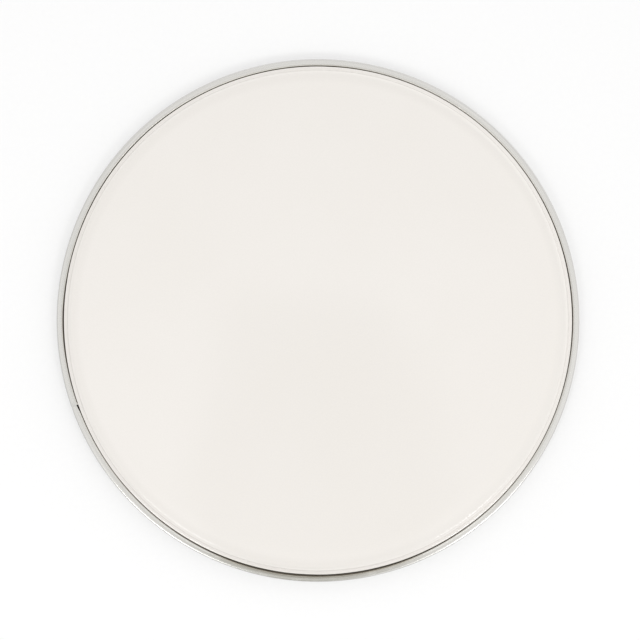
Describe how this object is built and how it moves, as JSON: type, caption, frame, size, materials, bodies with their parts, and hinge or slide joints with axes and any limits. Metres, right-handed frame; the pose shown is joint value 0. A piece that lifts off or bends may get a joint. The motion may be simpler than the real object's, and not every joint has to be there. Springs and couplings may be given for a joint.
{
  "type": "drum head",
  "caption": "Round drum head: a white plastic film with a raised formed collar, locked by a ring and resin into a rolled aluminium hoop with a butt seam.",
  "frame": {"origin": "centre of the hoop's bottom face, the face that the head lies on", "axes": "+Z up through the playing film; in the picture +X is to the right and +Y is up"},
  "size_m": [0.368, 0.368, 0.0147],
  "materials": {
    "film": "smooth opaque white polyester film with a soft gloss",
    "hoop": "bare roll-formed aluminium strip with fine rolling lines",
    "ring": "plain drawn square steel wire",
    "resin": "dark brown cast resin",
    "splice": "mill-finish aluminium strip"
  },
  "bodies": {
    "root": {"batter_film": "film", "hoop_channel": "hoop", "lock_ring": "ring", "resin_bed": "resin", "seam_splice": "splice"}
  },
  "joints": []
}
